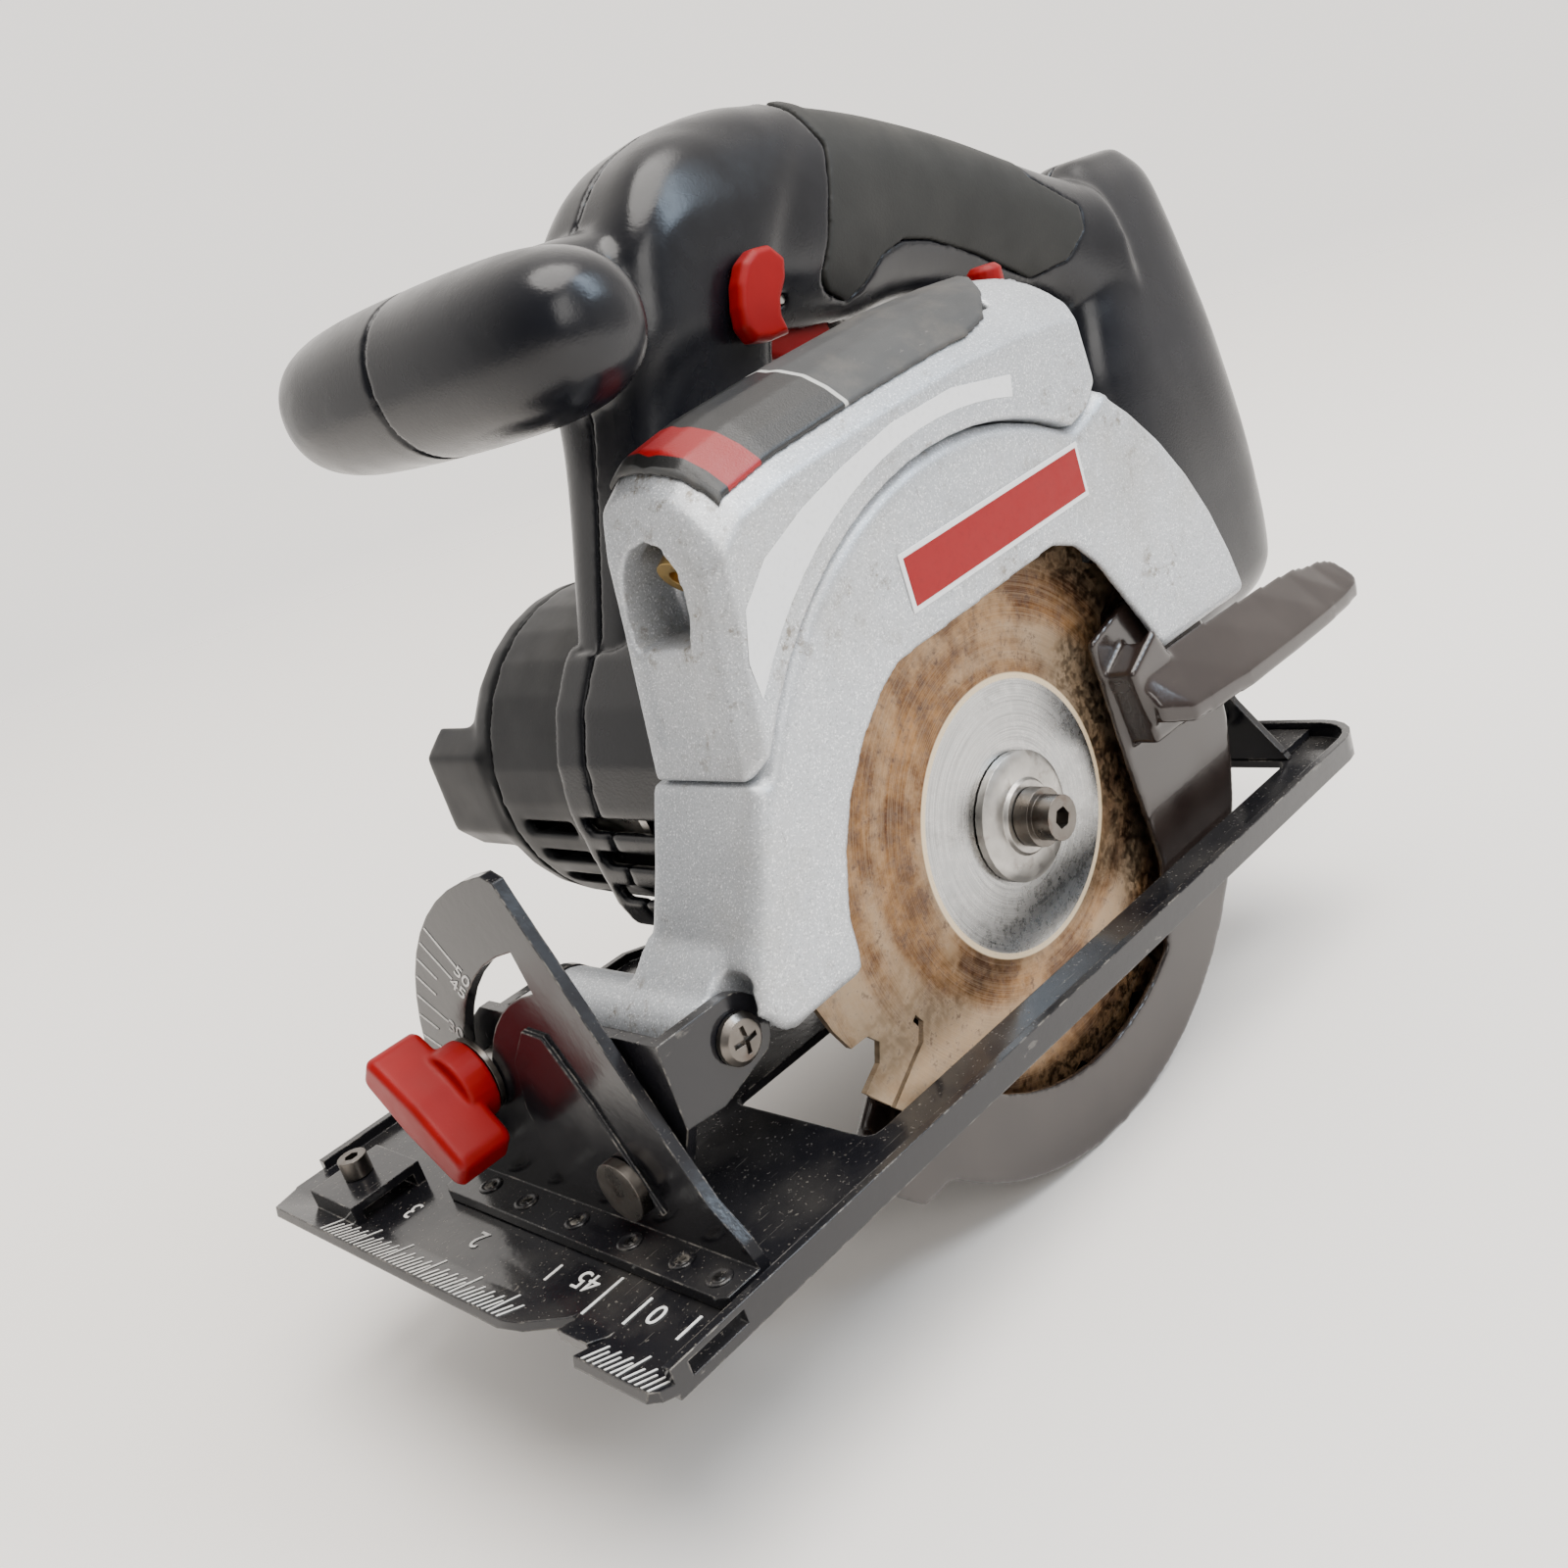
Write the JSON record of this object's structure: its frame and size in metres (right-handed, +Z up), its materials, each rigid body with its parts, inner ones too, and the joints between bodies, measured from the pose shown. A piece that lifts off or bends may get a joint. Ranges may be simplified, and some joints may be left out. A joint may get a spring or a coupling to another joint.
{
  "type": "cordless circular trim saw",
  "caption": "Cordless circular saw: blade on the left of a cast guard, motor and loop handle on the right, on a bevelling, depth-adjusting shoe.",
  "frame": {"origin": "on the flat underside of the shoe, abeam of the arbor and 75 mm to the right of the blade's plane", "axes": "+X the cutting direction, +Y to the blade side (the saw's left), +Z up from the shoe"},
  "size_m": [0.321, 0.14, 0.2328],
  "materials": {
    "black_paint": "glossy black paint",
    "dark_steel": "dark nickel plate",
    "steel": "machined steel",
    "blade_steel": "rusty ground steel",
    "silver_casting": "silver painted casting",
    "grey_plastic": "dark grey moulded",
    "black_plastic": "black moulded, fine texture",
    "grip_rubber": "soft overmoulded",
    "red_plastic": "red moulded",
    "smoke_plastic": "smoked translucent",
    "brass": "turned",
    "copper": "copper wound"
  },
  "bodies": {
    "shoe": {"shoe_plate": "black_paint", "fence_screw": "dark_steel", "bevel_quadrant": "black_paint", "front_tilt_pin": "dark_steel", "rear_ear": "black_paint", "rear_tilt_pin": "dark_steel"},
    "tilt_frame": {"tilt_bracket": "black_paint", "depth_pivot_screw": "dark_steel", "bevel_bolt": "steel", "bevel_washer": "dark_steel", "depth_bracket": "black_paint", "rear_spring": "steel"},
    "bevel_knob": {"bevel_knob": "red_plastic"},
    "saw_head": {"upper_guard": "silver_casting", "laser_housing": "silver_casting", "laser_cover": "grey_plastic", "laser_module": "black_plastic", "laser_barrel": "brass", "left_shell": "black_plastic", "right_shell": "black_plastic", "grip_left": "grip_rubber", "grip_right": "grip_rubber", "shell_screw_1": "dark_steel", "shell_screw_2": "dark_steel", "shell_screw_3": "dark_steel", "motor_housing": "grey_plastic", "end_cap": "grey_plastic", "motor_can": "steel", "magnet_front": "dark_steel", "magnet_rear": "dark_steel", "brush_front": "dark_steel", "brush_rear": "dark_steel", "gear_plate": "steel", "motor_bearing": "steel", "idler_shaft": "steel", "spindle_bearing_left": "steel", "spindle_bearing_right": "steel", "guard_spring": "steel", "guard_bumper": "grip_rubber", "trigger_pin": "steel", "switch_body": "black_plastic", "terminal_block": "copper", "depth_screw": "dark_steel"},
    "blade_drive": {"spindle": "steel", "output_gear": "steel", "inner_washer": "steel", "blade": "blade_steel", "outer_washer": "steel", "arbor_screw": "dark_steel"},
    "idler": {"idler_gear": "steel"},
    "armature": {"armature": "copper", "fan": "grey_plastic", "motor_pinion": "steel"},
    "lower_guard": {"lower_guard": "smoke_plastic"},
    "depth_lever": {"depth_lever": "red_plastic"},
    "trigger": {"trigger": "red_plastic"},
    "lock_off": {"lock_off": "red_plastic"},
    "laser_button": {"laser_button": "red_plastic"},
    "spindle_lock": {"spindle_lock": "red_plastic"}
  },
  "joints": [
    {"name": "bevel_tilt", "type": "hinge", "parent": "shoe", "child": "tilt_frame", "pos_m": [0.105, 0.063, 0.015], "axis": [-1, 0, 0], "range_deg": [0, 50]},
    {"name": "bevel_knob_spin", "type": "hinge", "parent": "tilt_frame", "child": "bevel_knob", "pos_m": [0.12, 0.02313, 0.03111], "axis": [1, 0, 0], "range_deg": [0, 150]},
    {"name": "depth_adjust", "type": "hinge", "parent": "tilt_frame", "child": "saw_head", "pos_m": [0.091, 0.055, 0.0355], "axis": [0, 1, 0], "range_deg": [0, 24]},
    {"name": "depth_lever_turn", "type": "hinge", "parent": "saw_head", "child": "depth_lever", "pos_m": [-0.08086, 0.039, 0.0424], "axis": [0, 1, 0], "range_deg": [0, 45]},
    {"name": "blade_spin", "type": "hinge", "parent": "saw_head", "child": "blade_drive", "pos_m": [0, 0.075, 0.0337], "axis": [0, 1, 0], "continuous": true},
    {"name": "idler_spin", "type": "hinge", "parent": "saw_head", "child": "idler", "pos_m": [0.026, 0.043, 0.0442], "axis": [0, 1, 0], "continuous": true},
    {"name": "armature_spin", "type": "hinge", "parent": "saw_head", "child": "armature", "pos_m": [0.025, 0.005, 0.065], "axis": [0, 1, 0], "continuous": true},
    {"name": "guard_retract", "type": "hinge", "parent": "saw_head", "child": "lower_guard", "pos_m": [0, 0.075, 0.0337], "axis": [0, 1, 0], "range_deg": [0, 110], "stiffness_Nm_per_rad": 0.12, "springref_deg": -68.75},
    {"name": "trigger_pull", "type": "hinge", "parent": "saw_head", "child": "trigger", "pos_m": [-0.014, 0.025, 0.149], "axis": [0, 1, 0], "range_deg": [0, 9], "stiffness_Nm_per_rad": 0.6, "springref_deg": -11.46},
    {"name": "lock_off_press", "type": "slide", "parent": "saw_head", "child": "lock_off", "axis": [0, 0, -1], "range_m": [0, 0.003], "stiffness_N_per_m": 400, "springref_m": -0.002},
    {"name": "laser_press", "type": "slide", "parent": "saw_head", "child": "laser_button", "axis": [0, 0, -1], "range_m": [0, 0.0018], "stiffness_N_per_m": 500, "springref_m": -0.001},
    {"name": "spindle_lock_press", "type": "slide", "parent": "saw_head", "child": "spindle_lock", "axis": [0, 1, 0], "range_m": [0, 0.003], "stiffness_N_per_m": 500, "springref_m": -0.002}
  ],
  "couplings": [
    {"joint": "idler_spin", "follows": "blade_spin", "ratio": -2.3333},
    {"joint": "armature_spin", "follows": "blade_spin", "ratio": 5.1333}
  ]
}
